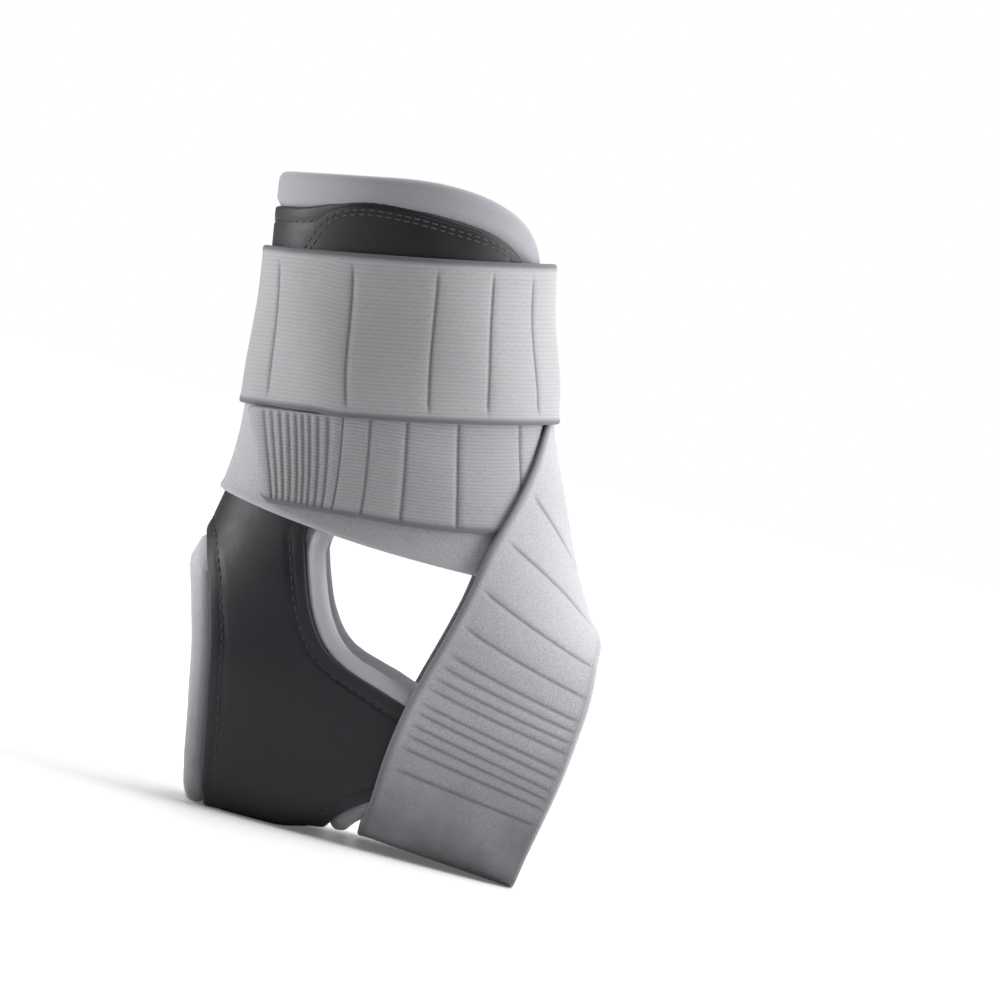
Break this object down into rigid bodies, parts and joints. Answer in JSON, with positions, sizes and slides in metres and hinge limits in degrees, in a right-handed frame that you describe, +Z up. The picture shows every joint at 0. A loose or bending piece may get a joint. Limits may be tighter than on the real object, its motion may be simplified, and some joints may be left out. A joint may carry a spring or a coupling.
{
  "type": "ankle foot orthosis",
  "caption": "Soft ankle brace: padded liner and outer shell with an open heel and side windows, held by crossed elastic straps with hook-and-loop tabs.",
  "frame": {"origin": "on the floor, in the flat sole, straight under the ankle line", "axes": "+X to the toes, -Y to the near side, which is the side that the picture shows, +Z up"},
  "size_m": [0.1344, 0.084, 0.2052],
  "materials": {
    "shell": "smooth dark grey laminate",
    "liner": "soft light grey padded knit",
    "elastic": "fine ribbed light grey elastic weave",
    "loop": "brushed loop face",
    "hook": "hook tape",
    "stay": "plain moulded sheet"
  },
  "bodies": {
    "foot": {"sole_panel": "shell", "sole_liner": "liner", "near_heel_panel": "shell", "far_heel_panel": "shell", "near_heel_liner": "liner", "far_heel_liner": "liner", "near_heel_plate": "stay", "far_heel_plate": "stay", "stirrup_strap": "elastic", "achilles_panel": "shell", "achilles_liner": "liner", "near_strap_crossing": "elastic", "far_strap_crossing": "elastic"},
    "cuff": {"cuff_liner": "liner", "cuff_panel": "shell", "near_stay": "stay", "far_stay": "stay", "near_stay_pocket": "shell", "far_stay_pocket": "shell", "far_strap_wrap": "elastic", "near_strap_wrap": "elastic", "lower_strap": "elastic", "upper_strap": "elastic", "near_tab_loop_patch": "loop", "far_tab_loop_patch": "loop", "upper_tab_loop_patch": "loop"},
    "lower_tab": {"lower_strap_tab": "elastic", "lower_tab_hook_patch": "hook"},
    "near_tab": {"near_strap_tab": "elastic", "near_tab_hook_patch": "hook"},
    "upper_tab": {"upper_strap_tab": "elastic", "upper_tab_hook_patch": "hook"}
  },
  "joints": [
    {"name": "ankle_flex", "type": "hinge", "parent": "foot", "child": "cuff", "pos_m": [0, 0, 0.072], "axis": [0, 1, 0], "range_deg": [-15, 15], "stiffness_Nm_per_rad": 2, "deforming": ["achilles_panel", "achilles_liner", "near_strap_crossing", "far_strap_crossing"]},
    {"name": "lower_strap_peel", "type": "hinge", "parent": "cuff", "child": "lower_tab", "pos_m": [-0.01183, -0.03622, 0.1031], "axis": [-0.1646, 0.0116, 0.9863], "range_deg": [0, 80]},
    {"name": "near_strap_peel", "type": "hinge", "parent": "cuff", "child": "near_tab", "pos_m": [-0.00455, 0.03774, 0.09659], "axis": [0.1724, 0.0353, -0.9844], "range_deg": [0, 80]},
    {"name": "upper_strap_peel", "type": "hinge", "parent": "cuff", "child": "upper_tab", "pos_m": [0.0185, 0.0383, 0.16], "axis": [0.1855, 0.0041, -0.9826], "range_deg": [0, 80]}
  ]
}
